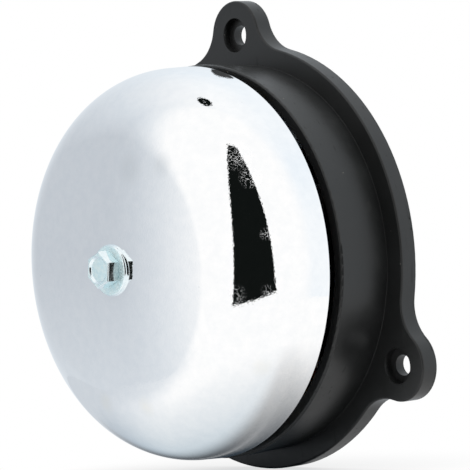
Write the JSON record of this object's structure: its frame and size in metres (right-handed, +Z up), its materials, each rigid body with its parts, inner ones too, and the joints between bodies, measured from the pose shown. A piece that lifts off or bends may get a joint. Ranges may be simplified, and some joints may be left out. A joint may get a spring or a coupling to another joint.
{
  "type": "electric bell",
  "caption": "Wall-mounted electric bell: a domed metal gong bolted over a round moulded base with fixing ears, and an electromagnetic interrupter striker inside.",
  "frame": {"origin": "on the bell's axis, in the plane of the wall that the base is screwed to", "axes": "+Y goes into the wall along the bell's axis, +Z is up through the top ear, +X is to the right as seen from the front"},
  "size_m": [0.1182, 0.0559, 0.1218],
  "materials": {
    "moulded_black": "moulded, semi-gloss",
    "chrome": "polished chrome plate",
    "zinc_plate": "bright zinc plate, clear passivated",
    "zinc_sheet": "zinc-plated sheet",
    "turned_steel": "turned steel",
    "soft_iron": "soft iron, oiled",
    "copper_wire": "enamelled copper wire, close wound",
    "bobbin_plastic": "natural nylon",
    "brass": "turned brass",
    "tinned_brass": "tinned brass",
    "spring_steel": "drawn spring steel",
    "spring_bronze": "rolled spring bronze",
    "silver": "silver contact",
    "fibre": "vulcanised fibre",
    "rubber": "moulded rubber",
    "terminal_plastic": "moulded nylon, black",
    "lead_red": "PVC insulation",
    "lead_blue": "PVC insulation"
  },
  "bodies": {
    "base": {"base_moulding": "moulded_black", "gong": "chrome", "gong_washer": "zinc_plate", "gong_bolt": "zinc_plate", "gong_seat_washer": "fibre", "gong_pillar": "turned_steel", "pillar_lock_washer": "zinc_plate", "pillar_screw": "zinc_plate", "chassis_plate": "zinc_sheet", "chassis_screws": "zinc_plate", "yoke": "soft_iron", "yoke_screws": "zinc_plate", "solder_pins": "tinned_brass", "pivot_stud": "turned_steel", "pivot_spacer": "brass", "pivot_clip": "spring_steel", "spring_post": "turned_steel", "return_spring": "spring_steel", "contact_pillar": "brass", "contact_insulator": "fibre", "contact_bush": "fibre", "contact_foot_screw": "zinc_plate", "contact_locknut": "brass", "terminal_block": "terminal_plastic", "terminal_tubes": "brass", "terminal_screws": "zinc_plate", "terminal_fixing_screw": "zinc_plate", "cable_grommet": "rubber", "frame_tag": "tinned_brass", "frame_tag_screw": "zinc_plate", "core_left": "soft_iron", "bobbin_left": "bobbin_plastic", "winding_left": "copper_wire", "core_right": "soft_iron", "bobbin_right": "bobbin_plastic", "winding_right": "copper_wire", "lead_supply": "lead_red", "lead_link": "lead_red", "lead_frame": "lead_blue", "lead_contact": "lead_blue"},
    "striker": {"armature": "soft_iron", "hammer_rod": "turned_steel", "hammer_head": "brass", "contact_leaf": "spring_bronze", "leaf_rivets": "brass", "leaf_contact": "silver", "spring_pin": "turned_steel"},
    "contact_adjuster": {"contact_screw": "brass", "screw_contact": "silver"}
  },
  "joints": [
    {"name": "armature_pivot", "type": "hinge", "parent": "base", "child": "striker", "pos_m": [-0.033, -0.0185, -0.01855], "axis": [0, -1, 0], "range_deg": [0, 4], "stiffness_Nm_per_rad": 0.19, "springref_deg": -3.78, "deforming": ["return_spring"]},
    {"name": "contact_screw_travel", "type": "slide", "parent": "base", "child": "contact_adjuster", "axis": [0, 0, 1], "range_m": [-0.0015, 0]}
  ]
}
